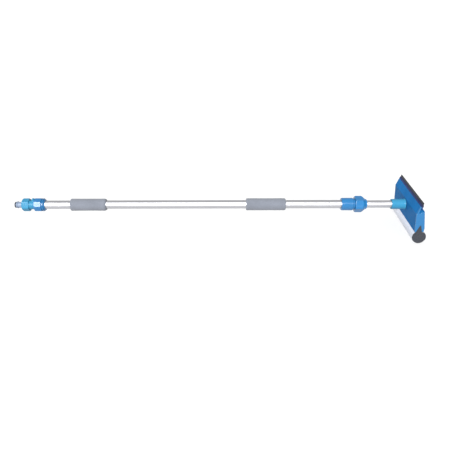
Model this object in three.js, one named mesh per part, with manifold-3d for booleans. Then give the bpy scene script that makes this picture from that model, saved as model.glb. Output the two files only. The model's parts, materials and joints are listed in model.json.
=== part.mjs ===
// Telescopic, water-fed window squeegee: a hose plug and shut-off valve, a two-tube pole with foam grips and
// a twist lock, and a hollow head with a rubber blade on top and a sleeved sponge underneath.
// Millimetres. +X runs along the pole to the head and +Z is up, on the blade's side.
// The origin is under the middle of the object, level with the underside of the sponge.

import * as THREE from "three";
import { mergeVertices } from "three/addons/utils/BufferGeometryUtils.js";
import Module from "manifold-3d";

const wasm = await Module();
wasm.setup();

// ---- Driving dimensions ----

const POLE_HEIGHT = 79.5; // pole axis above the underside of the sponge
const HEAD_WIDTH = 200; // blade, holder and housing, end to end
const SPONGE_RADIUS = 20.5; // outside of the sleeve
const GAP = 0.3; // between pieces that touch
const MOVING_FACETS = 32; // round pieces that turn in one another
const SMALL_FACETS = 20; // round pieces under 20 mm across and seals

// Tubes, as radii.
const OUTER_TUBE = { outer: 13, bore: 12 };
const INNER_TUBE = { outer: 11.5, bore: 10.5 };
const OUTER_TUBE_START = 86.5;
const OUTER_TUBE_END = 1035.5;
const STOP_DEPTH = 0.35; // rolled groove in the outer tube that stops the slide bush
const GRIP_RADIUS = 18.8;

// Stations along the pole, from the plug's tip.
const UNION_START = 24.4;
const NECK_START = 45.9; // of the valve ring, past the union nut
const VALVE_START = 62;
const VALVE_END = 84.2; // of its eight flats
const COLLAR_START = 85.8;
const COLLAR_END = 94;
const LOWER_GRIP = [171.8, 281.5];
const UPPER_GRIP = [710.5, 832];
const BUSH_START = 236;
const BUSH_SHOULDER = 258; // where the bush enters the inner tube
const STOP_GROOVE = 967.9;
const LOCK_START = 1003;
const LOCK_END = 1038.5; // of the part that is held
const LOCK_NUT_START = 1044;
const LOCK_NUT_END = 1081;
const SOCKET_START = 1157; // neck socket of the head
const SOCKET_SHOULDER = 1192.6; // inside it, where the inner tube's washer seats
const RIDGE = 1199; // crease of the housing's back, where the neck ends

// Head section, in the plane across its width: p forwards from the ridge, w up from the pole axis.
const RIDGE_W = 18.8;
const ARM_LEAN = THREE.MathUtils.degToRad(19.7);
const ARM_LENGTH = 24.3;
const SPONGE_CENTRE = [22, SPONGE_RADIUS - POLE_HEIGHT];
const SPONGE_TOP_W = -44.5; // where the round of the sponge meets its neck
const ROD = { p: 19, w: -30.5, radius: 3 };
const CAP_THICKNESS = 3;
const COVER_THICKNESS = 2.5;

const OVERALL_LENGTH = RIDGE + SPONGE_CENTRE[0] + SPONGE_RADIUS; // plug tip to the front of the sponge

const COLOURS = {
  cyan: 0x46b4e4,
  blue: 0x2f7fcc,
  navy: 0x1b3168,
  rubber: 0x26262a,
  aluminium: 0xd8dae0,
  gripFoam: 0x9c9eae,
  spongeFoam: 0x4a4e58,
  sleeve: 0xe6e9f2,
  greyPlastic: 0xb6bad2,
  whitePlastic: 0xe8e8e4,
  steel: 0xb8bcc2,
};

const FINISH = {
  metal: { roughness: 0.32, metalness: 1 },
  gloss: { roughness: 0.28, metalness: 0 },
  matt: { roughness: 0.6, metalness: 0 },
  soft: { roughness: 0.95, metalness: 0 },
};

// ---- Solids ----

function solidOf(geometry) {
  const bare = geometry.index ? geometry.toNonIndexed() : geometry.clone();
  bare.deleteAttribute("normal");
  bare.deleteAttribute("uv");
  const merged = mergeVertices(bare, 1e-4);
  return new wasm.Manifold(
    new wasm.Mesh({
      numProp: 3,
      vertProperties: merged.attributes.position.array,
      triVerts: new Uint32Array(merged.index.array),
    }),
  );
}

function geometryOf(solid) {
  const { vertProperties, triVerts } = solid.getMesh();
  const geometry = new THREE.BufferGeometry();
  geometry.setAttribute("position", new THREE.BufferAttribute(vertProperties, 3));
  geometry.setIndex(new THREE.BufferAttribute(triVerts, 1));
  geometry.computeVertexNormals();
  return geometry;
}

function joined(base, ...others) {
  return geometryOf(others.reduce((all, one) => all.add(solidOf(one)), solidOf(base)));
}

function cut(base, ...tools) {
  return geometryOf(tools.reduce((rest, tool) => rest.subtract(solidOf(tool)), solidOf(base)));
}

function common(base, other) {
  return geometryOf(solidOf(base).intersect(solidOf(other)));
}

// Turned about the X axis. The profile is a closed loop of [x, radius], outside first, from low x to high x.
function turned(profile, facets = MOVING_FACETS) {
  const loop = [...profile, profile[0]].map(([x, radius]) => new THREE.Vector2(radius, x));
  return new THREE.LatheGeometry(loop, facets).rotateZ(-Math.PI / 2);
}

// A plain turned tube, with its outer edges broken by a chamfer.
function ringBlank(start, end, bore, outer, chamfer = 0, facets = MOVING_FACETS) {
  const profile = chamfer
    ? [
        [start, outer - chamfer],
        [start + chamfer, outer],
        [end - chamfer, outer],
        [end, outer - chamfer],
      ]
    : [
        [start, outer],
        [end, outer],
      ];
  return turned([...profile, [end, bore], [start, bore]], facets);
}

// A prism along X with regular sides; the corner angle is measured from +Z towards +Y.
function prism(sides, cornerRadius, start, end, cornerAngle) {
  return new THREE.CylinderGeometry(cornerRadius, cornerRadius, end - start, sides)
    .rotateZ(-Math.PI / 2)
    .rotateX(-cornerAngle)
    .translate((start + end) / 2, 0, 0);
}

// A round bar along X, Y or Z, from one place on that axis to another.
function bar(axis, radius, from, to, facets = SMALL_FACETS) {
  const geometry = new THREE.CylinderGeometry(radius, radius, to - from, facets);
  const middle = (from + to) / 2;
  if (axis === "x") return geometry.rotateZ(-Math.PI / 2).translate(middle, 0, 0);
  if (axis === "y") return geometry.translate(0, middle, 0);
  return geometry.rotateX(Math.PI / 2).translate(0, 0, middle);
}

function oRing(station, centreRadius, wireRadius) {
  return new THREE.TorusGeometry(centreRadius, wireRadius, 6, SMALL_FACETS)
    .rotateY(Math.PI / 2)
    .translate(station, 0, 0);
}

function outline(points) {
  return new THREE.Shape(points.map(([p, w]) => new THREE.Vector2(p, w)));
}

// A head section run along Y, centred on the pole unless a middle is given.
function extruded(shape, length, middle = 0, curveSegments = 16) {
  return new THREE.ExtrudeGeometry(shape, { depth: length, bevelEnabled: false, curveSegments })
    .rotateX(Math.PI / 2)
    .translate(0, middle + length / 2, 0);
}

function piece(name, geometry, colour, finish) {
  const material = new THREE.MeshStandardMaterial({ color: COLOURS[colour], ...FINISH[finish] });
  const mesh = new THREE.Mesh(geometry, material);
  mesh.name = name;
  return mesh;
}

// ---- Hose end: plug, union nut and shut-off valve ----

// The first corner of each faceted piece, from straight up towards +Y.
const HEX_CORNER = THREE.MathUtils.degToRad(22);
const OCTAGON_CORNER = THREE.MathUtils.degToRad(7.5);

// Inside the union nut: the plug's flange, its washer and the valve ring's face.
const FLANGE = { start: 29.9, end: 32.9, radius: 15.4 };
const WASHER_START = FLANGE.end + GAP;
const STUB_START = WASHER_START + 2 + GAP;
const UNION_BORE = 16;

function hosePlug() {
  const body = 9.2;
  const bore = 4.5;
  const profile = [
    [0, body - 0.7],
    [0.7, body],
    [0.9, body],
    [0.9, 7],
    [3.9, 7],
    [3.9, body],
    [4.8, body],
    [5.4, 8.3],
    [6.8, 8.3],
    [6.8, 10.2],
    [7.4, 10.8],
    [9.3, 10.8],
    [9.9, 10.2],
    [9.9, body],
    [FLANGE.start, body],
    [FLANGE.start, FLANGE.radius],
    [FLANGE.end, FLANGE.radius],
    [FLANGE.end, bore],
    [0, bore],
  ];
  return turned(profile, SMALL_FACETS);
}

function unionNut() {
  const cornerRadius = 20.4;
  const end = NECK_START - GAP;
  const collar = FLANGE.start - GAP;
  const profile = [
    [UNION_START, 18.4],
    [UNION_START + 2, cornerRadius],
    [end - 1.7, cornerRadius],
    [end, 18.9],
    [end, UNION_BORE],
    [collar, UNION_BORE],
    [collar, 9.6],
    [UNION_START, 9.6],
  ];
  const blank = turned(profile);
  return common(blank, prism(6, cornerRadius, UNION_START - 1, end + 1, HEX_CORNER));
}

// The shut-off: a grooved journal that turns in the valve body, and a ported disc against a ported seat.
const JOURNAL = { radius: 11, grooveStart: 66.3, grooveEnd: 69.3, grooveRadius: 9.3 };
const PLATE_THICKNESS = 2.5;
const DISC_START = 74.8;
const SEAT_START = DISC_START + PLATE_THICKNESS + GAP;

function valveRing() {
  const neckRadius = 14;
  const shoulder = VALVE_START - GAP;
  const bore = 8;
  const { radius, grooveStart, grooveEnd, grooveRadius } = JOURNAL;
  const profile = [
    [STUB_START, UNION_BORE - 0.4],
    [NECK_START - 1, UNION_BORE - 0.4],
    [NECK_START - 1, neckRadius],
    [shoulder, neckRadius],
    [shoulder, radius],
    [grooveStart, radius],
    [grooveStart, grooveRadius],
    [grooveEnd, grooveRadius],
    [grooveEnd, radius],
    [DISC_START - GAP, radius],
    [DISC_START - GAP, bore],
    [STUB_START, bore],
  ];
  const lug = { length: 7.9, width: 9, height: 8.6, top: 21 };
  const block = new THREE.BoxGeometry(lug.length, lug.width, lug.height).translate(
    shoulder - lug.length / 2,
    0,
    lug.top - lug.height / 2,
  );
  return joined(turned(profile), block);
}

// Round plate with two ports, used for the turning disc and for the seat it turns against.
function portedPlate(start, radius) {
  const end = start + PLATE_THICKNESS;
  const ports = [1, -1].map((side) => bar("x", 2.8, start - 1, end + 1, 12).translate(0, 0, 5.2 * side));
  return cut(bar("x", radius, start, end), ...ports);
}

// Seal groove of a spigot, as four points of its profile.
function groove(start, end, surface, floor) {
  return [
    [start, surface],
    [start, floor],
    [end, floor],
    [end, surface],
  ];
}

const SPIGOT_SEAL = 95.9;

function valveBody() {
  const cornerRadius = 21.4;
  const neckRadius = 17.5;
  const spigotRadius = 11.7;
  const spigotEnd = 106;
  const socketEnd = SEAT_START + PLATE_THICKNESS + 0.4;
  const socketBore = 11.4;
  const profile = [
    [VALVE_START, 20.3],
    [VALVE_START + 1.2, cornerRadius],
    [VALVE_END - 1.2, cornerRadius],
    [VALVE_END, 20],
    [VALVE_END, neckRadius],
    [COLLAR_START, neckRadius],
    [COLLAR_START, spigotRadius],
    ...groove(SPIGOT_SEAL - 1.5, SPIGOT_SEAL + 1.5, spigotRadius, 10),
    [spigotEnd, spigotRadius],
    [spigotEnd, 7],
    [socketEnd, 7],
    [socketEnd, socketBore],
    [VALVE_START, socketBore],
  ];
  const flats = prism(8, cornerRadius, VALVE_START - 1, spigotEnd + 1, OCTAGON_CORNER);
  return common(turned(profile), flats);
}

const COLLAR_NUT = { end: 90.6, bore: 16.5, radius: 19.8 };

function collarNut() {
  return ringBlank(COLLAR_START + GAP, COLLAR_NUT.end, COLLAR_NUT.bore, COLLAR_NUT.radius, 0.8);
}

function tubeCollar() {
  const start = COLLAR_START + GAP;
  const lip = COLLAR_NUT.end + GAP;
  const profile = [
    [start, COLLAR_NUT.bore - GAP],
    [lip, COLLAR_NUT.bore - GAP],
    [lip, 17.6],
    [COLLAR_END, 15.8],
    [COLLAR_END, OUTER_TUBE.outer + GAP],
    [start, OUTER_TUBE.outer + GAP],
  ];
  return turned(profile);
}

// ---- Pole: tubes, grips, slide bush and twist lock ----

function outerTube() {
  const { outer, bore } = OUTER_TUBE;
  const alongs = [-2, -0.8, 0.8, 2];
  const depths = [0, STOP_DEPTH, STOP_DEPTH, 0];
  const outside = alongs.map((along, i) => [STOP_GROOVE + along, outer - depths[i]]);
  const inside = alongs.map((along, i) => [STOP_GROOVE + along, bore - depths[i]]).reverse();
  return turned([
    [OUTER_TUBE_START, outer],
    ...outside,
    [OUTER_TUBE_END, outer],
    [OUTER_TUBE_END, bore],
    ...inside,
    [OUTER_TUBE_START, bore],
  ]);
}

// A foam grip: chamfered at the hose end, with a cone of its own length at the other.
function foamGrip([start, end], cone) {
  const chamfer = 1.5;
  const bore = OUTER_TUBE.outer + GAP;
  return turned([
    [start, GRIP_RADIUS - chamfer],
    [start + chamfer, GRIP_RADIUS],
    [end - cone.length, GRIP_RADIUS],
    [end, cone.radius],
    [end, bore],
    [start, bore],
  ]);
}

const BUSH_RADIUS = 11.85;
const BUSH_SEALS = [BUSH_START + 5.3, BUSH_START + 15.3];

function slideBush() {
  const spigotEnd = BUSH_SHOULDER + 23;
  const bore = 6;
  const profile = [
    [BUSH_START, BUSH_RADIUS - 0.6],
    [BUSH_START + 0.8, BUSH_RADIUS],
    ...BUSH_SEALS.flatMap((seal) => groove(seal - 1.3, seal + 1.3, BUSH_RADIUS, 10)),
    [BUSH_SHOULDER, BUSH_RADIUS],
    [BUSH_SHOULDER, INNER_TUBE.bore - 0.4],
    [spigotEnd, INNER_TUBE.bore - 0.4],
    [spigotEnd, bore],
    [BUSH_START, bore],
  ];
  return turned(profile);
}

const SCREW_STATION = 1176;
const SCREW_HOLE_RADIUS = 1.6;
const WASHER_SEAT = SOCKET_SHOULDER - GAP; // far face of the washer on the inner tube's end

function innerTube() {
  const start = BUSH_SHOULDER + GAP;
  const end = WASHER_SEAT - 2 - GAP;
  const tube = turned([
    [start, INNER_TUBE.outer],
    [end, INNER_TUBE.outer],
    [end, INNER_TUBE.bore],
    [start, INNER_TUBE.bore],
  ]);
  return cut(tube, bar("z", SCREW_HOLE_RADIUS, -14.5, -6.5, 12).translate(SCREW_STATION, 0, 0));
}

// The twist lock: the nut's inner cone closes a slit collet on the inner tube.
const LOCK_BORE = 13.4;
const COLLET_START = 1050;
const CONE = { start: COLLET_START + 12.4, end: 1077, wide: 15.3, narrow: 13.3 };

function lockBody() {
  const neckStart = LOCK_NUT_START - GAP;
  const neckRadius = 15.7;
  const wallStart = OUTER_TUBE_END + GAP;
  const wallEnd = COLLET_START - 4;
  const profile = [
    [LOCK_START, 18.2],
    [LOCK_START + 1.4, 19.4],
    [LOCK_END - 1.2, 19.7],
    [LOCK_END, 18.4],
    [LOCK_END, 16.8],
    [neckStart, 16.8],
    [neckStart, neckRadius],
    [CONE.start - 0.4, neckRadius],
    [CONE.start - 0.4, LOCK_BORE],
    [wallEnd, LOCK_BORE],
    [wallEnd, BUSH_RADIUS],
    [wallStart, BUSH_RADIUS],
    [wallStart, OUTER_TUBE.outer + GAP],
    [LOCK_START, OUTER_TUBE.outer + GAP],
  ];
  return turned(profile);
}

function lockNut() {
  const cornerRadius = 26;
  const flatsEnd = 1064.7;
  const noseStart = 1075.6;
  const nose = 15.8;
  const opening = INNER_TUBE.outer + 0.4;
  const threadRadius = 16.1;
  const profile = [
    [LOCK_NUT_START, 24.2],
    [LOCK_NUT_START + 1.8, cornerRadius],
    [flatsEnd, cornerRadius],
    [noseStart, 17.2],
    [noseStart, nose],
    [LOCK_NUT_END - 1.4, nose],
    [LOCK_NUT_END, nose - 1.4],
    [LOCK_NUT_END, opening],
    [CONE.end, opening],
    [CONE.end, CONE.narrow],
    [CONE.start, CONE.wide],
    [CONE.start, threadRadius],
    [LOCK_NUT_START, threadRadius],
  ];
  const flats = prism(6, cornerRadius, LOCK_NUT_START - 1, LOCK_NUT_END + 1, HEX_CORNER);
  return common(turned(profile), flats);
}

function lockCollet() {
  const clear = 0.5; // from the nut's cone, with the lock open
  const bore = INNER_TUBE.outer + GAP;
  const end = CONE.end - GAP;
  const profile = [
    [COLLET_START, LOCK_BORE - GAP],
    [CONE.start + GAP, LOCK_BORE - GAP],
    [CONE.start + GAP, CONE.wide - clear],
    [end, CONE.narrow - clear],
    [end, bore],
    [COLLET_START, bore],
  ];
  const slit = new THREE.BoxGeometry(40, 2, 10).translate(COLLET_START + 14, 0, -14.5);
  return cut(turned(profile), slit);
}

// ---- Neck of the head ----

const SOCKET_RADIUS = 15.6;
const SPIGOT = { end: RIDGE + 9, radius: 7 };

function neckSocket() {
  const end = RIDGE - GAP;
  const waterway = 4.5;
  const profile = [
    [SOCKET_START, SOCKET_RADIUS - 1.2],
    [SOCKET_START + 1.2, SOCKET_RADIUS],
    [end - 4, SOCKET_RADIUS],
    [end, SOCKET_RADIUS + 1.8],
    [end, SPIGOT.radius],
    ...groove(RIDGE + 1.4, RIDGE + 2.6, SPIGOT.radius, 5.9),
    [SPIGOT.end, SPIGOT.radius],
    [SPIGOT.end, waterway],
    [SOCKET_SHOULDER, waterway],
    [SOCKET_SHOULDER, INNER_TUBE.outer + GAP],
    [SOCKET_START, INNER_TUBE.outer + GAP],
  ];
  const screwHole = bar("z", SCREW_HOLE_RADIUS, -18, -9, 12).translate(SCREW_STATION, 0, 0);
  return cut(turned(profile), screwHole);
}

function neckScrew() {
  const underHead = -SOCKET_RADIUS - GAP;
  return joined(
    bar("z", 1.3, underHead - 1, -8.6, 12),
    bar("z", 3.1, underHead - 2, underHead, 16),
  ).translate(SCREW_STATION, 0, 0);
}

// ---- Head ----

// A point of the leaning arm: along it from the ridge, and forwards from its back face.
function onArm(along, forward) {
  return [
    along * Math.sin(ARM_LEAN) + forward * Math.cos(ARM_LEAN),
    RIDGE_W + along * Math.cos(ARM_LEAN) - forward * Math.sin(ARM_LEAN),
  ];
}

const ARM = [[0, RIDGE_W], onArm(ARM_LENGTH, 0), onArm(ARM_LENGTH, 3), [5.1, RIDGE_W]];
const BACK_FOOT = [
  [6.2, -42.5],
  [4.4, -25.7],
];
const SPONGE_CHANNEL = [
  [27.2, -41.1],
  [20.6, -20.5],
  [19, -18.9],
  [17.4, -20.5],
  [8.8, -42.5],
];
const FRONT = [
  [22, 27.7],
  [32.7, -29.1],
  [32.2, -41.1],
];

function shiftedBack(points, distance) {
  return points.map(([p, w]) => [p - distance, w]);
}

// Back, arm, roof of the sponge channel and the wall over the water chamber; open to the front.
function headHousing() {
  const behindCover = shiftedBack(FRONT, COVER_THICKNESS + GAP);
  const section = outline([
    ...ARM,
    [behindCover[0][0], 26.2],
    [behindCover[0][0] + 0.7, 23.4],
    [3.8, 14.7],
    [6, -11.5],
    [26.6, -11.5],
    ...behindCover.slice(1),
    ...SPONGE_CHANNEL,
    ...BACK_FOOT,
  ]);
  const length = HEAD_WIDTH - 2 * (CAP_THICKNESS + GAP);
  return cut(extruded(section, length), bar("x", SPIGOT.radius + 0.35, -5, 12));
}

function sprayCover() {
  const section = outline([...FRONT, ...shiftedBack(FRONT, COVER_THICKNESS).reverse()]);
  const length = HEAD_WIDTH - 2 * (CAP_THICKNESS + GAP);
  const holes = 9;
  const pitch = 20;
  const jets = Array.from({ length: holes }, (_, i) =>
    bar("x", 1.2, 15, 40, 8).translate(0, (i - (holes - 1) / 2) * pitch, 8),
  );
  return cut(extruded(section, length), ...jets);
}

function endCap(side) {
  const section = outline([...ARM, ...FRONT, ...SPONGE_CHANNEL, ...BACK_FOOT]);
  return extruded(section, CAP_THICKNESS, (side * (HEAD_WIDTH - CAP_THICKNESS)) / 2);
}

// Clip that grips the arm's tip from below and holds the blade in a groove above.
function bladeHolder() {
  const section = [
    [24.6, 0],
    [31, 0.2],
    [31, 1],
    [26.2, 1],
    [26.2, 4],
    [31, 4],
    [31, 5.6],
    [28, 6.2],
    [15, 6.4],
    [15, 4.05],
    [24.6, 3.3],
  ];
  return extruded(outline(section.map(([t, n]) => onArm(t, n))), HEAD_WIDTH);
}

function blade() {
  const section = [
    [26.5, 1.3],
    [31, 1.3],
    [38, 0.8],
    [38, 2.6],
    [31, 3.7],
    [26.5, 3.7],
  ];
  return extruded(outline(section.map(([t, n]) => onArm(t, n))), HEAD_WIDTH);
}

// The angle above horizontal at which a circle round the sponge's centre reaches the top of its round part.
function topAngle(radius) {
  return Math.asin((SPONGE_TOP_W - SPONGE_CENTRE[1]) / radius);
}

function spongeFoam() {
  const [p, w] = SPONGE_CENTRE;
  const radius = SPONGE_RADIUS - 1.4;
  const top = topAngle(radius);
  const section = new THREE.Shape();
  section.moveTo(19, -19.7);
  section.lineTo(20.2, -21.1);
  section.lineTo(26.6, -41.3);
  section.lineTo(27.4, SPONGE_TOP_W + 1);
  section.absarc(p, w, radius, top, -Math.PI - top, true);
  section.lineTo(9.5, -42.1);
  section.lineTo(17.8, -21.1);
  const rodHole = new THREE.Path();
  rodHole.absarc(ROD.p, ROD.w, ROD.radius + GAP, 0, 2 * Math.PI, false);
  section.holes.push(rodHole);
  return extruded(section, HEAD_WIDTH + 6);
}

function spongeSleeve() {
  const [p, w] = SPONGE_CENTRE;
  const inner = SPONGE_RADIUS - 1.1;
  const outerTop = topAngle(SPONGE_RADIUS);
  const innerTop = topAngle(inner);
  const section = new THREE.Shape();
  section.absarc(p, w, SPONGE_RADIUS, outerTop, -Math.PI - outerTop, true);
  section.absarc(p, w, inner, -Math.PI - innerTop, innerTop, false);
  return extruded(section, HEAD_WIDTH - 8);
}

// ---- Assembly ----

const hoseEnd = new THREE.Group();
hoseEnd.add(
  piece("hose_plug", hosePlug(), "greyPlastic", "gloss"),
  piece("plug_o_ring", oRing(2.4, 8.2, 1.2), "rubber", "matt"),
  piece("union_nut", unionNut(), "cyan", "gloss"),
  piece("union_washer", ringBlank(WASHER_START, WASHER_START + 2, 5, 15, 0, SMALL_FACETS), "rubber", "matt"),
  piece("valve_ring", valveRing(), "cyan", "gloss"),
  piece("valve_o_ring", oRing((JOURNAL.grooveStart + JOURNAL.grooveEnd) / 2, 10.2, 0.8), "rubber", "matt"),
  piece("valve_disc", portedPlate(DISC_START, 10.8), "whitePlastic", "matt"),
  piece("valve_seat", portedPlate(SEAT_START, 11), "rubber", "matt"),
  piece("valve_body", valveBody(), "blue", "gloss"),
  piece("spigot_o_ring", oRing(SPIGOT_SEAL, 10.85, 0.75), "rubber", "matt"),
  piece("collar_nut", collarNut(), "blue", "gloss"),
  piece("tube_collar", tubeCollar(), "blue", "gloss"),
);

const bushSeals = BUSH_SEALS.map((station, i) =>
  piece(`bush_o_ring_${i + 1}`, oRing(station, 10.85, 0.75), "rubber", "matt"),
);

const tubes = new THREE.Group();
tubes.add(
  piece("outer_tube", outerTube(), "aluminium", "metal"),
  piece("lower_grip", foamGrip(LOWER_GRIP, { length: 5.5, radius: 15.6 }), "gripFoam", "soft"),
  piece("upper_grip", foamGrip(UPPER_GRIP, { length: 1.5, radius: 17.3 }), "gripFoam", "soft"),
  piece("slide_bush", slideBush(), "whitePlastic", "gloss"),
  ...bushSeals,
  piece("inner_tube", innerTube(), "aluminium", "metal"),
  piece("lock_body", lockBody(), "blue", "gloss"),
  piece("lock_seal", ringBlank(COLLET_START - 3.6, COLLET_START - 0.6, 11.8, 13.1), "rubber", "matt"),
  piece("lock_collet", lockCollet(), "whitePlastic", "gloss"),
  piece("lock_nut", lockNut(), "blue", "gloss"),
  piece("neck_socket", neckSocket(), "cyan", "gloss"),
  piece("neck_washer", ringBlank(WASHER_SEAT - 2, WASHER_SEAT, 5, 11.5, 0, SMALL_FACETS), "rubber", "matt"),
  piece("neck_o_ring", oRing(RIDGE + 2, 6.45, 0.5), "rubber", "matt"),
  piece("neck_screw", neckScrew(), "steel", "metal"),
);

const spongeRod = bar("y", ROD.radius, -98, 98, 16).translate(ROD.p, 0, ROD.w);
const head = new THREE.Group();
head.position.x = RIDGE;
head.add(
  piece("head_housing", headHousing(), "blue", "gloss"),
  piece("spray_cover", sprayCover(), "blue", "gloss"),
  piece("near_end_cap", endCap(-1), "blue", "gloss"),
  piece("far_end_cap", endCap(1), "blue", "gloss"),
  piece("blade_holder", bladeHolder(), "navy", "gloss"),
  piece("blade", blade(), "rubber", "matt"),
  piece("sponge_foam", spongeFoam(), "spongeFoam", "soft"),
  piece("sponge_sleeve", spongeSleeve(), "sleeve", "soft"),
  piece("sponge_rod", spongeRod, "whitePlastic", "gloss"),
);

const squeegee = new THREE.Group();
squeegee.position.set(-OVERALL_LENGTH / 2, 0, POLE_HEIGHT);
squeegee.add(hoseEnd, tubes, head);

export default squeegee;
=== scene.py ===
"""The looks of a telescopic, water-fed window squeegee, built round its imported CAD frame."""

import json
import math

import bmesh
import bpy
import numpy as np
from mathutils import Matrix, Vector, noise


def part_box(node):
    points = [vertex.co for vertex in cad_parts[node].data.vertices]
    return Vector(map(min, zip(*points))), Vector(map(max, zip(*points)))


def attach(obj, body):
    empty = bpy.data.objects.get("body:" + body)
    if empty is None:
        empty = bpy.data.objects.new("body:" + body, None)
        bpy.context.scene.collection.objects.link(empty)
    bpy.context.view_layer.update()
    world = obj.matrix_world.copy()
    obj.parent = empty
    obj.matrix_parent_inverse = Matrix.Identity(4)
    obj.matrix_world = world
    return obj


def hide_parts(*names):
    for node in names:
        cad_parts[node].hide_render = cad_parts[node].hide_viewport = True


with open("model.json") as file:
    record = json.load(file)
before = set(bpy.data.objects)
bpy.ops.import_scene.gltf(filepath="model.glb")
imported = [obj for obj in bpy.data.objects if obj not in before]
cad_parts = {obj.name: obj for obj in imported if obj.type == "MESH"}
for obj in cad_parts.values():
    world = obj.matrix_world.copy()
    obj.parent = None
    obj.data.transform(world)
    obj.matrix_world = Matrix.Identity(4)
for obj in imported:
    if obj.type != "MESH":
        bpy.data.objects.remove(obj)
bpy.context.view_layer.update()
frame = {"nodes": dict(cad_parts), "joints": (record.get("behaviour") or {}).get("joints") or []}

# ---- Places, from the frame ----

MM = 0.001
TIP_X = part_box("hose_plug")[0].x
AXIS_Z = next(j["pos_m"][2] for j in frame["joints"] if j["name"] == "head_turn")
RIDGE_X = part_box("head_housing")[0].x
HALF_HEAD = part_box("blade")[1].y / MM
HALF_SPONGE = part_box("sponge_foam")[1].y / MM
HALF_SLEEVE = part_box("sponge_sleeve")[1].y / MM


def station(length):
    """X of a place along the pole, given in mm from the plug's tip."""
    return TIP_X + length * MM


# ---- Camera, made first ----

CAMERA_PITCH = math.radians(30.2)
CAMERA_ROLL = math.radians(-0.13)
CAMERA_OFFSET = Vector((0.025, -1.3117, 0.6897))  # from the pole's axis at mid-length

camera = bpy.data.objects.new("camera", bpy.data.cameras.new("camera"))
camera.data.lens = 38.4
camera.data.sensor_width = 36.0
camera.data.clip_end = 50.0
camera.location = CAMERA_OFFSET + Vector((0, 0, AXIS_Z))
aim = Matrix.Rotation(math.pi / 2 - CAMERA_PITCH, 3, "X") @ Matrix.Rotation(CAMERA_ROLL, 3, "Z")
camera.rotation_euler = aim.to_euler()
bpy.context.scene.collection.objects.link(camera)
bpy.context.scene.camera = camera


# ---- Material nodes ----


class Shader:
    """A Principled material with short ways to add the nodes that its detail needs."""

    def __init__(self, name, colour, roughness, metallic=0.0):
        self.material = bpy.data.materials.new(name)
        self.material.use_nodes = True
        self.tree = self.material.node_tree
        self.principled = self.tree.nodes["Principled BSDF"]
        self.place = self.tree.nodes.new("ShaderNodeTexCoord").outputs["Object"]
        self.set(**{"Base Color": (*colour, 1), "Roughness": roughness, "Metallic": metallic})
        self.material.diffuse_color = (*colour, 1)

    def set(self, **values):
        for socket, value in values.items():
            self.principled.inputs[socket.replace("_", " ")].default_value = value

    def node(self, kind, inputs=None, **settings):
        made = self.tree.nodes.new("ShaderNode" + kind)
        for key, value in settings.items():
            setattr(made, key, value)
        for key, value in (inputs or {}).items():
            self.feed(made.inputs[key], value)
        return made

    def feed(self, socket, value):
        if isinstance(value, bpy.types.NodeSocket):
            self.tree.links.new(value, socket)
        else:
            socket.default_value = value

    def stretched(self, x, y, z):
        """Object coordinates, scaled by different amounts along each axis."""
        return self.node("Mapping", {"Vector": self.place, "Scale": (x, y, z)}).outputs["Vector"]

    def noise(self, scale, detail=3.0, place=None, roughness=0.5):
        inputs = {"Vector": place or self.place, "Scale": scale, "Detail": detail, "Roughness": roughness}
        return self.node("TexNoise", inputs).outputs["Fac"]

    def cells(self, scale, place=None, feature="F1"):
        inputs = {"Vector": place or self.place, "Scale": scale}
        return self.node("TexVoronoi", inputs, feature=feature).outputs["Distance"]

    def ranged(self, value, low, high, to_low=0.0, to_high=1.0):
        inputs = {"Value": value, 1: low, 2: high, 3: to_low, 4: to_high}
        return self.node("MapRange", inputs, clamp=True).outputs["Result"]

    def maths(self, operation, first, second):
        return self.node("Math", {0: first, 1: second}, operation=operation).outputs["Value"]

    def mix(self, share, first, second, blend="MIX"):
        made = self.node("Mix", data_type="RGBA", blend_type=blend)
        for socket, value in (("Factor", share), (6, first), (7, second)):
            self.feed(made.inputs[0 if socket == "Factor" else socket], value)
        return made.outputs[2]

    def colour(self, value):
        self.feed(self.principled.inputs["Base Color"], value)

    def roughness(self, value):
        self.feed(self.principled.inputs["Roughness"], value)

    def bump(self, height, distance, strength=1.0, under=None):
        inputs = {"Height": height, "Distance": distance, "Strength": strength}
        if under is not None:
            inputs["Normal"] = under
        made = self.node("Bump", inputs).outputs["Normal"]
        self.feed(self.principled.inputs["Normal"], made)
        return made


def tone(colour, factor):
    return (*(min(1.0, c * factor) for c in colour), 1)


def moulded_plastic(name, colour, roughness=0.3, gloss=0.3, sheen_spread=0.08):
    """Glossy injection-moulded plastic: faint flow marks, rubbed patches and fine scratches."""
    shader = Shader(name, colour, roughness)
    flow = shader.noise(18, 2)
    shader.colour(shader.mix(shader.ranged(flow, 0.35, 0.65), tone(colour, 0.93), tone(colour, 1.06)))
    rubbed = shader.noise(45, 5, roughness=0.65)
    scratches = shader.noise(260, 2, shader.stretched(0.12, 1, 0.7))
    worn = shader.maths("MULTIPLY", rubbed, scratches)
    low, high = roughness - sheen_spread, roughness + 1.6 * sheen_spread
    shader.roughness(shader.ranged(worn, 0.16, 0.4, low, high))
    peel = shader.bump(shader.noise(420, 2), 0.00006, 0.15)
    shader.bump(scratches, 0.00002, 0.3, peel)
    shader.set(Coat_Weight=0.3 * gloss, Coat_Roughness=0.12, IOR=1.49, Specular_IOR_Level=gloss)
    return shader.material


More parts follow.
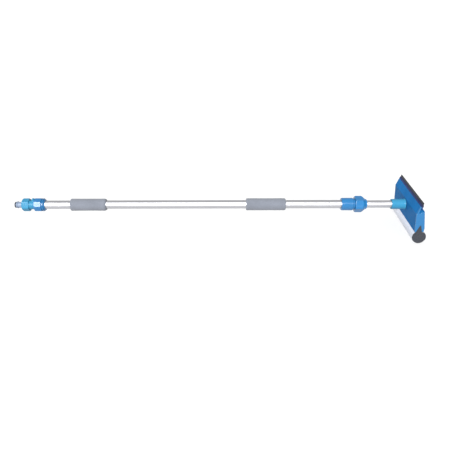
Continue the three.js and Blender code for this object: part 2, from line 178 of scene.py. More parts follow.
def drawn_aluminium(name):
    """Drawn and clear-anodised tube: lines along its length, cloudy patches and a few rub marks."""
    colour = (0.5, 0.502, 0.525)
    shader = Shader(name, colour, 0.27, 1.0)
    lines = shader.noise(900, 2, shader.stretched(0.012, 1, 1))
    clouds = shader.noise(9, 4, shader.stretched(0.5, 1, 1))
    tint = shader.mix(shader.ranged(clouds, 0.35, 0.7), tone(colour, 0.95), tone(colour, 1.03))
    shader.colour(shader.mix(shader.ranged(lines, 0.3, 0.75, 0, 0.22), tint, tone(colour, 0.8)))
    rubs = shader.noise(70, 4, shader.stretched(0.15, 1, 1))
    shader.roughness(shader.ranged(shader.maths("ADD", lines, rubs), 0.7, 1.35, 0.34, 0.46))
    shader.bump(lines, 0.00002, 0.3)
    return shader.material


def foam_rubber(name, colour, cell, pore_shade, depth, grain=0.8):
    """Foam with open pores at its skin: small pits with painted shade in them, between paler walls, matt all
    over.
    """
    shader = Shader(name, colour, 0.92)
    pores = shader.cells(1 / cell)
    small = shader.cells(2.6 / cell)
    pit_depth_and_shade = shader.maths("MULTIPLY", shader.ranged(pores, 0.1, 0.6), shader.ranged(small, 0.05, 0.55, grain, 1))
    patches = shader.noise(25, 4)
    base = shader.mix(shader.ranged(patches, 0.3, 0.7), tone(colour, 0.9), tone(colour, 1.1))
    # The pore centres are darkened towards a darker tone of the foam: painted shade in the pits, on top of
    # their bump.
    shader.colour(shader.mix(pit_depth_and_shade, tone(colour, pore_shade), base))
    shader.bump(pit_depth_and_shade, depth, 0.7)
    shader.set(Sheen_Weight=0.15, Sheen_Roughness=0.6, Specular_IOR_Level=0.2)
    return shader.material


def wiper_rubber(name):
    """Natural rubber with a dusty bloom and fine cutting lines along the blade."""
    colour = (0.01, 0.011, 0.016)
    shader = Shader(name, colour, 0.55)
    bloom = shader.noise(30, 5, roughness=0.7)
    shader.colour(shader.mix(shader.ranged(bloom, 0.45, 0.8, 0, 0.5), (*colour, 1), (0.022, 0.024, 0.032, 1)))
    lines = shader.noise(700, 2, shader.stretched(1, 0.02, 1))
    shader.roughness(shader.ranged(bloom, 0.3, 0.7, 0.42, 0.66))
    shader.bump(lines, 0.00004, 0.4)
    return shader.material


def terry_cloth(name):
    """White microfibre: loops in rows along the sleeve, on a knitted ground, with painted shade between the
    loops. UV is in metres.
    """
    colour = (0.52, 0.54, 0.585)
    shader = Shader(name, colour, 0.95)
    uv = shader.node("TexCoord").outputs["UV"]
    loops = shader.node("TexVoronoi", {"Vector": uv, "Scale": 620.0, "Randomness": 0.55}).outputs["Distance"]
    rows = shader.node("TexWave", {"Vector": uv, "Scale": 115.0, "Distortion": 1.2, "Detail": 2.0})
    pile = shader.ranged(loops, 0.05, 0.6, 1, 0)
    loop_relief_and_shade = shader.maths("MULTIPLY", pile, shader.ranged(rows.outputs["Fac"], 0, 1, 0.55, 1))
    damp = shader.noise(22, 4)
    ground = shader.mix(shader.ranged(damp, 0.35, 0.7), tone(colour, 0.92), tone(colour, 1.05))
    # Where the loop relief is low, between the loops, the colour goes to a darker grey: painted shade in the
    # gaps of the pile.
    shader.colour(shader.mix(shader.ranged(loop_relief_and_shade, 0, 0.6), (0.34, 0.36, 0.42, 1), ground))
    shader.bump(loop_relief_and_shade, 0.0006, 0.8)
    shader.set(Sheen_Weight=0.4, Sheen_Roughness=0.45, Specular_IOR_Level=0.25)
    return shader.material


def plated_steel(name):
    shader = Shader(name, (0.62, 0.63, 0.66), 0.3, 1.0)
    shader.roughness(shader.ranged(shader.noise(900, 3), 0.3, 0.7, 0.22, 0.42))
    shader.bump(shader.noise(1500, 2), 0.00002, 0.3)
    return shader.material


CYAN = moulded_plastic("cyan_plastic", (0.024, 0.145, 0.25), 0.27, 0.12)
BLUE = moulded_plastic("blue_plastic", (0.01, 0.095, 0.23), 0.2, 0.42)
MATT_BLUE = moulded_plastic("matt_blue_plastic", (0.009, 0.1, 0.27), 0.45, 0.02)
NAVY = moulded_plastic("navy_plastic", (0.005, 0.014, 0.075), 0.38, 0.15)
GREY = moulded_plastic("grey_plastic", (0.15, 0.19, 0.26), 0.3, 0.2)
WHITE = moulded_plastic("white_plastic", (0.75, 0.75, 0.72), 0.4)
ALUMINIUM = drawn_aluminium("drawn_aluminium")
GRIP_FOAM = foam_rubber("grip_foam", (0.118, 0.128, 0.152), 0.0011, 0.72, 0.00016, 0.9)
SPONGE_FOAM = foam_rubber("sponge_foam", (0.017, 0.02, 0.029), 0.0021, 0.3, 0.0009)
RUBBER = wiper_rubber("black_rubber")
SLEEVE = terry_cloth("sleeve_cloth")
STEEL = plated_steel("screw_steel")


# ---- Building pieces ----


def finished(name, vertices, faces, material, body, replaces=(), sharp=35):
    """A mesh piece, smooth but for its sharp edges, on its body and in place of its CAD nodes."""
    mesh = bpy.data.meshes.new(name)
    mesh.from_pydata([tuple(v) for v in vertices], [], faces)
    bm = bmesh.new()
    bm.from_mesh(mesh)
    bmesh.ops.recalc_face_normals(bm, faces=bm.faces)
    bm.to_mesh(mesh)
    bm.free()
    mesh.polygons.foreach_set("use_smooth", [True] * len(mesh.polygons))
    mesh.set_sharp_from_angle(angle=math.radians(sharp))
    mesh.materials.append(material)
    piece = bpy.data.objects.new(name, mesh)
    bpy.context.scene.collection.objects.link(piece)
    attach(piece, body)
    if replaces:
        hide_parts(*replaces)
    return piece


def modified(piece, kind, **settings):
    modifier = piece.modifiers.new(kind.lower(), kind)
    for key, value in settings.items():
        setattr(modifier, key, value)
    return modifier


def bevelled(piece, width_mm, segments=3, angle=40):
    """Rounds a piece's edges, and keeps its flats flat."""
    modified(
        piece,
        "BEVEL",
        width=width_mm * MM,
        segments=segments,
        limit_method="ANGLE",
        angle_limit=math.radians(angle),
        harden_normals=False,
    )
    modified(piece, "WEIGHTED_NORMAL", keep_sharp=False, weight=80)
    return piece


def rounded(points, radii, steps=4):
    """A closed outline with each corner rounded. radii is one number, or one for each point."""
    count = len(points)
    radii = [radii] * count if isinstance(radii, (int, float)) else radii
    out = []
    for i, radius in enumerate(radii):
        before, corner, after = (Vector(points[(i + k) % count]) for k in (-1, 0, 1))
        back, on = before - corner, after - corner
        turn = back.angle(on)
        reach = min(radius / max(math.tan(turn / 2), 1e-3), 0.45 * back.length, 0.45 * on.length)
        if reach < 1e-3 or turn > math.radians(176):
            out.append(tuple(corner))
            continue
        start, end = corner + back.normalized() * reach, corner + on.normalized() * reach
        for k in range(steps + 1):
            t = k / steps
            out.append(tuple(start * (1 - t) ** 2 + corner * 2 * t * (1 - t) + end * t**2))
    return out


def lofted_faces(rings, count, joined=False):
    """Faces between neighbouring closed rings of count points each; joined also links last to first."""
    faces = []
    for ring in range(rings if joined else rings - 1):
        a, b = ring * count, ((ring + 1) % rings) * count
        faces += [(a + i, a + (i + 1) % count, b + (i + 1) % count, b + i) for i in range(count)]
    return faces


def end_faces(total, count):
    """The two faces that close the first and the last ring of a loft."""
    return [tuple(range(count)), tuple(range(total - count, total))]


def turned(name, profile, material, body, replaces, radius_of=None, fillet=0.35, around=96):
    """A piece turned about the pole's axis from a closed outline of (station, radius) in mm.

    radius_of(station, radius, angle) can give a faceted piece its flats; the angle is from +Z to +Y.
    """
    line = rounded(profile, fillet)
    if radius_of:
        line = dense(line, 1.2)
    vertices = []
    for k in range(around):
        angle = 2 * math.pi * k / around
        for place, radius in line:
            r = radius_of(place, radius, angle) if radius_of else radius
            vertices.append((station(place), r * MM * math.sin(angle), AXIS_Z + r * MM * math.cos(angle)))
    faces = lofted_faces(around, len(line), joined=True)
    piece = finished(name, vertices, faces, material, body, replaces)
    modified(piece, "WEIGHTED_NORMAL", keep_sharp=True, weight=60)
    return piece


def dense(line, step):
    """A closed outline with points no further apart than step."""
    out = []
    for i, (x, y) in enumerate(line):
        nx, ny = line[(i + 1) % len(line)]
        parts = max(1, math.ceil(math.hypot(nx - x, ny - y) / step))
        out += [(x + (nx - x) * k / parts, y + (ny - y) * k / parts) for k in range(parts)]
    return out


def flats(sides, corner_radius, first_corner, soft=0.8):
    """Radius rule for a piece with flat sides, its corners softened, outside a plain round bore."""
    inner = corner_radius * math.cos(math.pi / sides)
    wide = 2 * math.pi / sides

    def rule(place, radius, angle):
        off = (angle - math.radians(first_corner)) % wide - wide / 2
        flat = inner / math.cos(off)
        if radius < inner - 3:
            return radius
        low, high = min(radius, flat), max(radius, flat)
        return low - soft * math.exp(-(high - low) / soft) * 0.35

    return rule


def head_point(p, y, w):
    """A place in the head, in mm: p forwards of the ridge, y across, w up from the pole's axis."""
    return (RIDGE_X + p * MM, y * MM, AXIS_Z + w * MM)


def extruded(name, section, low_y, high_y, material, body, replaces, bevel=0.5):
    """A head section run across the head, with its end edges rounded."""
    count = len(section)
    vertices = [head_point(p, y, w) for y in (low_y, high_y) for p, w in section]
    faces = [tuple(range(count)), tuple(range(2 * count - 1, count - 1, -1))]
    faces += [(i, (i + 1) % count, count + (i + 1) % count, count + i) for i in range(count)]
    piece = finished(name, vertices, faces, material, body, replaces)
    return bevelled(piece, bevel) if bevel else piece


def cut_away(piece, tools):
    """Cuts helper meshes from a piece and removes them."""
    for tool in tools:
        modifier = modified(piece, "BOOLEAN", operation="DIFFERENCE", solver="EXACT")
        modifier.object = tool
    bpy.context.view_layer.update()
    evaluated = piece.evaluated_get(bpy.context.evaluated_depsgraph_get())
    mesh = bpy.data.meshes.new_from_object(evaluated)
    piece.modifiers.clear()
    piece.data = mesh
    for tool in tools:
        bpy.data.objects.remove(tool)
    return piece


def round_bar(name, start, end, radius_mm, sides=32):
    """A plain round bar from one point to another, in metres, used to cut holes."""
    bm = bmesh.new()
    direction = end - start
    bmesh.ops.create_cone(
        bm,
        cap_ends=True,
        segments=sides,
        radius1=radius_mm * MM,
        radius2=radius_mm * MM,
        depth=direction.length,
    )
    mesh = bpy.data.meshes.new(name)
    bm.to_mesh(mesh)
    bm.free()
    tool = bpy.data.objects.new(name, mesh)
    tool.location = (start + end) / 2
    tool.rotation_euler = direction.to_track_quat("Z", "Y").to_euler()
    bpy.context.scene.collection.objects.link(tool)
    return tool


# ---- Hose end ----

HEX_CORNER = 22  # where a corner of each nut stands at rest, in degrees from straight up
OCTAGON_CORNER = 7.5
UNION_CORNER_RADIUS = 20.4
VALVE_CORNER_RADIUS = 21.4
LOCK_CORNER_RADIUS = 26
LUG_STATION = 57.6


def hose_plug():
    profile = [
        (0, 8.5),
        (0.8, 9.2),
        (0.9, 7),
        (3.9, 7),
        (3.95, 9.2),
        (4.8, 9.2),
        (5.4, 8.3),
        (6.8, 8.3),
        (6.9, 10.2),
        (7.5, 10.8),
        (9.2, 10.8),
        (9.9, 10.2),
        (9.9, 9.2),
        (29.9, 9.2),
        (29.9, 15.4),
        (32.9, 15.4),
        (32.9, 4.5),
        (0, 4.5),
    ]
    turned("hose_plug_body", profile, GREY, "valve_inlet", ["hose_plug"])


def ring_seal(name, place, centre_radius, wire, body, node):
    """An O-ring, as a round section turned about the pole."""
    section = [
        (place + wire * math.cos(a), centre_radius + wire * math.sin(a))
        for a in np.linspace(0, 2 * math.pi, 16, endpoint=False)
    ]
    turned(name, section, RUBBER, body, [node], fillet=0)


def union_nut():
    profile = [
        (24.4, 17.8),
        (26.4, 20.3),
        (44.1, 20.3),
        (45.6, 18.7),
        (45.6, 16),
        (29.6, 16),
        (29.6, 9.6),
        (24.4, 9.6),
    ]
    turned(
        "union_nut_body",
        profile,
        CYAN,
        "union",
        ["union_nut"],
        flats(6, UNION_CORNER_RADIUS, HEX_CORNER, 1.1),
        fillet=0.8,
        around=144,
    )


def valve_ring():
    profile = [
        (35.5, 15.6),
        (44.9, 15.6),
        (44.9, 14),
        (61.7, 14),
        (61.7, 11),
        (66.3, 11),
        (66.3, 9.3),
        (69.3, 9.3),
        (69.3, 11),
        (74.5, 11),
        (74.5, 8),
        (35.5, 8),
    ]
    turned("valve_ring_body", profile, CYAN, "valve_inlet", ["valve_ring"], fillet=0.5)
    # The thumb lug: a rounded block that tapers a little upwards and blends into the ring.
    levels = [(13.2, 1.5), (14.4, 0.5), (15.4, 0), (20.2, -0.25), (20.9, -0.7)]
    vertices = []
    corners = rounded([(-3.5, -4.6), (3.5, -4.6), (3.5, 4.6), (-3.5, 4.6)], 1.6, 5)
    for height, grow in levels:
        for x, y in corners:
            wide = 1 + grow / 4
            place = (station(LUG_STATION + x * (1 + grow / 8)), y * wide * MM, AXIS_Z + height * MM)
            vertices.append(place)
    faces = lofted_faces(len(levels), len(corners)) + end_faces(len(vertices), len(corners))
    lug = finished("valve_lug", vertices, faces, CYAN, "valve_inlet", sharp=50)
    bevelled(lug, 0.4, 3, 50)


def valve_body():
    profile = [
        (62, 19.6),
        (63.2, 21.3),
        (83, 21.3),
        (84.2, 19.6),
        (84.2, 17.5),
        (85.8, 17.5),
        (85.8, 11.7),
        (94.4, 11.7),
        (94.4, 10),
        (97.4, 10),
        (97.4, 11.7),
        (106, 11.7),
        (106, 7),
        (80.5, 7),
        (80.5, 11.4),
        (62, 11.4),
    ]
    turned(
        "valve_body_shell",
        profile,
        BLUE,
        "pole",
        ["valve_body"],
        flats(8, VALVE_CORNER_RADIUS, OCTAGON_CORNER, 0.7),
        fillet=0.5,
        around=144,
    )


def collars():
    nut = [
        (86.1, 18.6),
        (87.1, 19.8),
        (89.6, 19.8),
        (90.6, 18.8),
        (90.6, 16.5),
        (86.1, 16.5),
    ]
    turned("collar_nut_ring", nut, BLUE, "pole", ["collar_nut"])
    collar = [
        (86.1, 16.2),
        (90.9, 16.2),
        (90.9, 17.6),
        (92.4, 17.1),
        (94, 15.6),
        (94, 13.25),
        (86.1, 13.25),
    ]
    turned("tube_collar_sleeve", collar, BLUE, "pole", ["tube_collar"])


# ---- Tubes, grips and lock ----

OUTER_TUBE = (13, 12)  # outside and inside radius
INNER_TUBE = (11.5, 10.5)
OUTER_ENDS = (86.5, 1035.5)
INNER_ENDS = (258.3, 1190)
STOP_GROOVE = 967.9
GRIP_RADIUS = 18.8


def tubes():
    (low, high), (out, bore) = OUTER_ENDS, OUTER_TUBE
    groove = [(-2.4, 0), (-1.1, 0.22), (0, 0.35), (1.1, 0.22), (2.4, 0)]
    outside = [(STOP_GROOVE + x, out - d) for x, d in groove]
    inside = [(STOP_GROOVE + x, bore - d) for x, d in reversed(groove)]
    outer = [(low, out), *outside, (high, out), (high, bore), *inside, (low, bore)]
    turned("outer_tube_drawn", outer, ALUMINIUM, "pole", ["outer_tube"], around=128)
    (low, high), (out, bore) = INNER_ENDS, INNER_TUBE
    inner = [(low, out), (high, out), (high, bore), (low, bore)]
    turned("inner_tube_drawn", inner, ALUMINIUM, "mast", ["inner_tube"], around=128)


def foam_grip(name, start, end, cone, node, seed):
    """A foam sleeve with soft ends, a slightly uneven skin and fine moulding ripples.

    cone is the length and the end radius of its taper at the head's end.
    """
    bore = OUTER_TUBE[0] + 0.1
    soft = 3.2
    places = [start + soft * (1 - math.cos(a)) for a in np.linspace(0, math.pi / 2, 6)]
    places += list(np.arange(start + soft + 1.5, end - cone[0] - 1, 1.5))
    places += [end - cone[0] * (1 - math.cos(a)) for a in np.linspace(math.pi / 2, 0, 8)]
    line = [(start + 0.25, bore), (start, bore + 0.8)]
    for place in places:
        into = max(0.0, soft - (place - start)) / soft
        out = max(0.0, cone[0] - (end - place)) / cone[0]
        drop = soft * (1 - math.sqrt(1 - min(1, into) ** 2)) * 0.9
        drop += (GRIP_RADIUS - cone[1]) * (0.7 * out + 0.3 * out**4)
        line.append((place, GRIP_RADIUS - drop))
    line += [(end, bore + 0.8), (end - 0.25, bore)]
    around = 120
    vertices = []
    for k in range(around):
        angle = 2 * math.pi * k / around
        across, up = math.sin(angle), math.cos(angle)
        for place, r in line:
            if r > bore + 1:
                slow = noise.noise(Vector((place / 22, across * 1.2 + seed, up * 1.2)))
                fine = noise.noise(Vector((place / 1.9, across * r / 1.9, up * r / 1.9 + seed)))
                r += 0.22 * slow + 0.07 * fine - 0.15
            vertices.append((station(place), r * MM * across, AXIS_Z + r * MM * up))
    faces = lofted_faces(around, len(line), joined=True)
    piece = finished(name, vertices, faces, GRIP_FOAM, "pole", [node], sharp=70)


def lock():
    body = [
        (1003, 17.8),
        (1004.6, 19.4),
        (1037.2, 19.7),
        (1038.5, 18.2),
        (1038.5, 16.8),
        (1043.7, 16.8),
        (1043.7, 15.7),
        (1062, 15.7),
        (1062, 13.4),
        (1046, 13.4),
        (1046, 11.85),
        (1035.8, 11.85),
        (1035.8, 13.15),
        (1003, 13.15),
    ]
    turned("lock_body_shell", body, BLUE, "pole", ["lock_body"], fillet=0.7)
    nut = [
        (1044, 23.6),
        (1045.9, 25.9),
        (1064.7, 25.9),
        (1075.6, 17.1),
        (1076, 15.8),
        (1079.4, 15.8),
        (1081, 14.2),
        (1081, 11.85),
        (1077, 11.9),
        (1077, 13.3),
        (1062.4, 15.3),
        (1062.4, 16.1),
        (1044, 16.1),
    ]
    turned(
        "lock_nut_body",
        nut,
        BLUE,
        "lock",
        ["lock_nut"],
        flats(6, LOCK_CORNER_RADIUS, HEX_CORNER, 1.2),
        fillet=0.9,
        around=144,
    )


# ---- Head ----

ARM_LEAN = math.radians(19.7)
RIDGE_W = 18.8
HALF_HOUSING = HALF_HEAD - 3.1  # the end caps take the rest
CAP_THICKNESS = 3.2
SPRAY_HOLES = range(-80, 81, 20)
SPRAY_W = 8
SPRAY_RADIUS = 1.2


def on_arm(along, forward):
    """A point of the leaning arm, in (p, w): along it from the ridge and forwards from its back."""
    return (
        along * math.sin(ARM_LEAN) + forward * math.cos(ARM_LEAN),
        RIDGE_W + along * math.cos(ARM_LEAN) - forward * math.sin(ARM_LEAN),
    )


ARM = [(0, RIDGE_W), on_arm(24.3, 0), on_arm(24.3, 3), (5.1, RIDGE_W)]
ARM_RADII = [1.2, 0.7, 0.7, 1.0]
BACK_FOOT = [(6.2, -42.5), (4.4, -25.7)]
CHANNEL = [(27.2, -41.1), (20.6, -20.5), (19, -18.9), (17.4, -20.5), (8.8, -42.5)]
FRONT = [(22, 27.7), (32.7, -29.1), (32.2, -41.1)]


def neck_socket():
    profile = [
        (1157, 14.4),
        (1158.2, 15.6),
        (1193.6, 15.6),
        (1196.6, 16),
        (1198.8, 17.4),
        (1198.8, 7),
        (1208, 7),
        (1208, 4.5),
        (1192.6, 4.5),
        (1192.6, 11.65),
        (1157, 11.65),
    ]
    turned("neck_socket_body", profile, CYAN, "mast", ["neck_socket"], fillet=0.9)


def housing():
    section = rounded(
        [
            *ARM,
            (19.2, 26.2),
            (19.9, 23.4),
            (3.8, 14.7),
            (6, -11.5),
            (26.6, -11.5),
            (29.9, -29.1),
            (29.4, -41.1),
            *CHANNEL,
            *BACK_FOOT,
        ],
        [*ARM_RADII, 0.3, 0.3, 1, 1, 0.3, 0.5, 0.3, 0.4, 0.5, 1, 0.5, 0.4, 0.8, 3],
    )
    extruded(
        "housing_back", section, -HALF_HOUSING, HALF_HOUSING, MATT_BLUE, "mast", ["head_housing"], 0.25
    )


def spray_cover():
    thickness = 2.5
    inside = [(p - thickness, w) for p, w in reversed(FRONT)]
    section = rounded([*FRONT, *inside], [0.8, 4, 0.8, 0.3, 3, 0.3])
    cover = extruded(
        "spray_cover_plate", section, -HALF_HOUSING, HALF_HOUSING, MATT_BLUE, "mast", ["spray_cover"], 0
    )
    holes = []
    for y in SPRAY_HOLES:
        inside, outside = (Vector(head_point(p, y, SPRAY_W)) for p in (15, 40))
        holes.append(round_bar("hole", inside, outside, SPRAY_RADIUS, 20))
    bevelled(cut_away(cover, holes), 0.3, 2)
    for number, y in enumerate(SPRAY_HOLES, 1):
        nozzle_ring(f"spray_boss_{number}", y, SPRAY_W)


def nozzle_ring(name, y, w):
    """The raised lip round one spray hole, on the leaning front face."""
    slope = math.atan2(FRONT[1][0] - FRONT[0][0], FRONT[0][1] - FRONT[1][1])
    face_p = FRONT[0][0] + (FRONT[0][1] - w) * math.tan(slope)
    out = Vector((math.cos(slope), 0, math.sin(slope)))
    up = Vector((-math.sin(slope), 0, math.cos(slope)))
    across = Vector((0, 1, 0))
    centre = Vector(head_point(face_p, y, w))
    section = [(1.3, -0.6), (1.3, 0.3), (1.6, 0.6), (2.1, 0.6), (2.6, 0.2), (2.7, -0.6)]
    around = 28
    vertices = []
    for k in range(around):
        angle = 2 * math.pi * k / around
        ray = up * math.cos(angle) + across * math.sin(angle)
        vertices += [centre + (ray * r + out * h) * MM for r, h in section]
    faces = lofted_faces(around, len(section), joined=True)
    finished(name, vertices, faces, MATT_BLUE, "mast")


def end_caps():
    outline = [*ARM, *FRONT, *CHANNEL, *BACK_FOOT]
    radii = [*ARM_RADII, 1.2, 4, 1, 0.6, 0.5, 1, 0.5, 0.6, 0.8, 3]
    section = rounded(outline, radii)
    for side, node in ((-1, "near_end_cap"), (1, "far_end_cap")):
        low, high = sorted((side * (HALF_HEAD - CAP_THICKNESS), side * HALF_HEAD))
        extruded(f"{node}_plate", section, low, high, BLUE, "mast", [node], 1.3)


def blade_and_holder():
    holder = [
        (24.45, 0),
        (31, 0.15),
        (31, 1.1),
        (26.2, 1),
        (26.2, 4),
        (31, 3.9),
        (31, 5.6),
        (28, 6.2),
        (15, 6.4),
        (15, 4.05),
        (24.6, 3.1),
    ]
    radii = [0.2, 0.45, 0.3, 0.3, 0.3, 0.3, 0.7, 1.5, 0.8, 0.4, 0.2]
    section = rounded([on_arm(t, n) for t, n in holder], radii)
    extruded("blade_holder_clip", section, -HALF_HEAD, HALF_HEAD, NAVY, "mast", ["blade_holder"], 0.35)
    # The blade: a thick root, two moulded ribs where it leaves the holder, and a square wiping edge.
    strip = [
        (26.5, 1.3),
        (30.9, 1.25),
        (31.5, 0.95),
        (32.2, 0.95),
        (32.7, 1.3),
        (38, 0.8),
        (38, 2.5),
        (32.7, 3.3),
        (32.2, 3.9),
        (31.5, 3.9),
        (30.9, 3.6),
        (26.5, 3.7),
    ]
    section = rounded([on_arm(t, n) for t, n in strip], 0.15, 2)
    extruded("blade_strip", section, -HALF_HEAD, HALF_HEAD, RUBBER, "mast", ["blade"], 0.12)


# ---- Sponge ----

SPONGE_P, SPONGE_W = 22.0, -59.0
SPONGE_RADIUS = 20.5
ROUND_TOP_W = -44.5
END_CROWN = 2.4  # how far the foam's ends are rounded over
END_SWELL = 1.1  # how far the bare foam stands out past the sleeve


def arc_round_sponge(radius, count):
    """Points of the sponge's round, from its front top corner under to its back top corner."""
    top = math.asin((ROUND_TOP_W - SPONGE_W) / radius)
    angles = np.linspace(top, -math.pi - top, count)
    return [(SPONGE_P + radius * math.cos(a), SPONGE_W + radius * math.sin(a)) for a in angles]


def sponge_foam():
    """Open-cell foam: a round body squeezed up into the channel, with torn cells at its ends."""
    neck_up = [(9.2, -42.3), (17.7, -21.3), (19, -19.8), (20.3, -21.3), (26.7, -41.7)]
    outline = arc_round_sponge(SPONGE_RADIUS - 1.3, 90) + neck_up
    line = dense(rounded(outline, 0.8, 2), 1.1)
    centre = Vector((SPONGE_P - 0.6, SPONGE_W + 6))
    bulge_over = HALF_SPONGE - HALF_SLEEVE
    rings = []
    for y in np.arange(-HALF_SPONGE + END_CROWN, HALF_SPONGE - END_CROWN + 0.1, 1.35):
        beyond = max(0.0, abs(y) - HALF_SLEEVE + 1.5) / bulge_over
        rings.append((y, 1.0, END_SWELL * min(1.0, 2.2 * beyond)))
    for shrink in (0.985, 0.955, 0.9, 0.83, 0.75, 0.66, 0.57, 0.48, 0.39, 0.3, 0.21, 0.12):
        inward = min(1.0, (1 - shrink) / 0.1 - 1)
        depth = END_CROWN * (1 - math.sqrt(max(0.0, 1 - inward**2))) if shrink > 0.9 else 0
        y = HALF_SPONGE - depth
        rings.append((y, shrink, END_SWELL))
        rings.insert(0, (-y, shrink, END_SWELL))
    vertices = []
    for y, shrink, swell in rings:
        for p, w in line:
            off = Vector((p, w)) - centre
            round_part = 1.0 if w < ROUND_TOP_W + 0.5 else 0.0
            grown = off * shrink + off.normalized() * swell * round_part * shrink
            place = Vector((centre.x + grown.x, y, centre.y + grown.y))
            lumps = noise.noise(place / 9) * 0.35
            cells = noise.noise(place / 1.7) * 0.32 + noise.noise(place / 0.8) * 0.12
            if shrink > 0.9:
                outward = Vector((off.x, 0, off.y)).normalized()
            else:
                outward = Vector((0, math.copysign(1, y), 0))
            place += outward * (lumps + cells - 0.3) * (1 if round_part or shrink <= 0.9 else 0.25)
            vertices.append(head_point(place.x, max(-HALF_SPONGE, min(HALF_SPONGE, place.y)), place.z))
    faces = lofted_faces(len(rings), len(line)) + end_faces(len(vertices), len(line))
    piece = finished("sponge_body", vertices, faces, SPONGE_FOAM, "mast", ["sponge_foam"], sharp=80)


def sponge_sleeve():
    """The terry sleeve: one cloth pulled round the sponge, its edges tucked up into the channel."""
    tuck_front = [(27.6, -39.6), (28.4, -41.7), (30.6, -42.4), (33, -43), (35.4, -44.2)]
    tuck_back = [(8.2, -43.9), (9, -42.8), (9.6, -40.5)]
    line = tuck_front + arc_round_sponge(SPONGE_RADIUS - 0.5, 100)[2:-4] + tuck_back
    along = [0.0]
    for (p0, w0), (p1, w1) in zip(line, line[1:]):
        along.append(along[-1] + math.hypot(p1 - p0, w1 - w0))
    rows = np.linspace(-HALF_SLEEVE, HALF_SLEEVE, 150)
    vertices, uvs = [], []
    for y in rows:
        for (p, w), s in zip(line, along):
            out = Vector((p - SPONGE_P, w - SPONGE_W)).normalized()
            pull = noise.noise(Vector((s / 11, y / 38, 3.1))) * 0.45
            pile = noise.noise(Vector((s / 1.3, y / 1.3, 7.7))) * 0.16
            hem = 0.25 * math.exp(-((HALF_SLEEVE - abs(y)) / 2.2) ** 2)
            lift = min(0.0, pull - 0.1) + pile * 0.6 + hem - 0.2
            vertices.append(head_point(p + out.x * lift, y, w + out.y * lift))
            uvs.append((s * MM, y * MM))
    count = len(line)
    faces = [
        (r * count + i, r * count + i + 1, (r + 1) * count + i + 1, (r + 1) * count + i)
        for r in range(len(rows) - 1)
        for i in range(count - 1)
    ]
    piece = finished("sponge_sleeve_cloth", vertices, faces, SLEEVE, "mast", ["sponge_sleeve"], sharp=180)
    layer = piece.data.uv_layers.new(name="cloth")
    for loop in piece.data.loops:
        layer.data[loop.index].uv = uvs[loop.vertex_index]
    modified(piece, "SOLIDIFY", thickness=0.7 * MM, offset=0)
    for side in (-1, 1):
        hem_stitches(f"sleeve_stitches_{'near' if side < 0 else 'far'}", line[3:-3], side * (HALF_SLEEVE - 4))


def hem_stitches(name, line, y):
    """A row of short thread stitches round the sleeve, just inside its edge."""
    path = dense(line, 0.5)[:-1]
    vertices, faces = [], []
    stitch, gap, sides = 5, 3, 6
    for start in range(0, len(path) - stitch - 30, stitch + gap):
        base = len(vertices)
        for k in range(stitch + 1):
            p, w = path[start + k]
            out = Vector((p - SPONGE_P, w - SPONGE_W)).normalized()
            rise = 0.12 + 0.22 * math.sin(math.pi * k / stitch)
            for angle in np.linspace(0, 2 * math.pi, sides, endpoint=False):
                r = rise + 0.2 * math.sin(angle)
                vertices.append(head_point(p + out.x * r, y + 0.22 * math.cos(angle), w + out.y * r))
        total = (stitch + 1) * sides
        one = lofted_faces(stitch + 1, sides) + end_faces(total, sides)
        faces += [tuple(base + i for i in face) for face in one]
    finished(name, vertices, faces, SLEEVE, "mast")


# ---- CAD nodes that stay ----

KEPT = {
    RUBBER: ["union_washer", "valve_seat", "lock_seal", "neck_washer"],
    WHITE: ["valve_disc", "slide_bush", "lock_collet", "sponge_rod"],
    STEEL: ["neck_screw"],
}


def keep_cad_nodes():
    for material, nodes in KEPT.items():
        for node in nodes:
            mesh = frame["nodes"][node].data
            mesh.materials.clear()
            mesh.materials.append(material)
            mesh.polygons.foreach_set("material_index", [0] * len(mesh.polygons))


# ---- Floor and light ----

FLOOR_SHADE = 0.52
WORLD_STRENGTH = 0.7


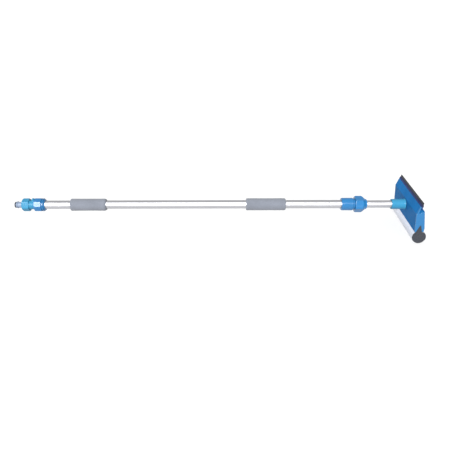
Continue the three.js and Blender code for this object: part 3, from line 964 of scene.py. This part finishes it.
def floor():
    shader = Shader("floor", (FLOOR_SHADE, FLOOR_SHADE, FLOOR_SHADE), 0.9)
    shader.set(Specular_IOR_Level=0.0)
    bpy.ops.mesh.primitive_plane_add(size=60, location=(0, 0, -0.0005))
    plane = bpy.context.object
    plane.name = "floor"
    plane.data.materials.append(shader.material)


def soft_key(irradiance, azimuth, elevation, spread):
    """One broad light from far off, so the floor is evenly bright. It casts no shadow."""
    lamp = bpy.data.objects.new("key", bpy.data.lights.new("key", "SUN"))
    lamp.data.energy = irradiance
    lamp.data.angle = math.radians(spread)
    lamp.data.use_shadow = False
    lamp.rotation_euler = (math.radians(90 - elevation), 0, math.radians(azimuth))
    bpy.context.scene.collection.objects.link(lamp)


def lights():
    """A white studio: even light all round, and one broad light in front, to the hose's side."""
    world = bpy.data.worlds.new("studio")
    world.use_nodes = True
    background = world.node_tree.nodes["Background"]
    background.inputs["Color"].default_value = (1.0, 1.0, 1.0, 1)
    background.inputs["Strength"].default_value = WORLD_STRENGTH
    bpy.context.scene.world = world
    soft_key(irradiance=7.5, azimuth=-13, elevation=36, spread=44)
    bpy.context.scene.view_settings.view_transform = "Standard"


hose_plug()
ring_seal("plug_seal", 2.4, 8.1, 1.35, "valve_inlet", "plug_o_ring")
union_nut()
valve_ring()
ring_seal("valve_seal", 67.8, 10.2, 0.8, "valve_inlet", "valve_o_ring")
valve_body()
ring_seal("spigot_seal", 95.9, 10.85, 0.75, "pole", "spigot_o_ring")
collars()
tubes()
foam_grip("lower_grip_foam", 171.8, 281.5, (5.5, 15.6), "lower_grip", 0.0)
foam_grip("upper_grip_foam", 710.5, 832, (2.6, 16.6), "upper_grip", 5.0)
ring_seal("bush_seal_1", 241.3, 10.85, 0.75, "carriage", "bush_o_ring_1")
ring_seal("bush_seal_2", 251.3, 10.85, 0.75, "carriage", "bush_o_ring_2")
lock()
neck_socket()
ring_seal("neck_seal", 1201, 6.45, 0.5, "mast", "neck_o_ring")
housing()
spray_cover()
end_caps()
blade_and_holder()
sponge_foam()
sponge_sleeve()
keep_cad_nodes()
floor()
lights()
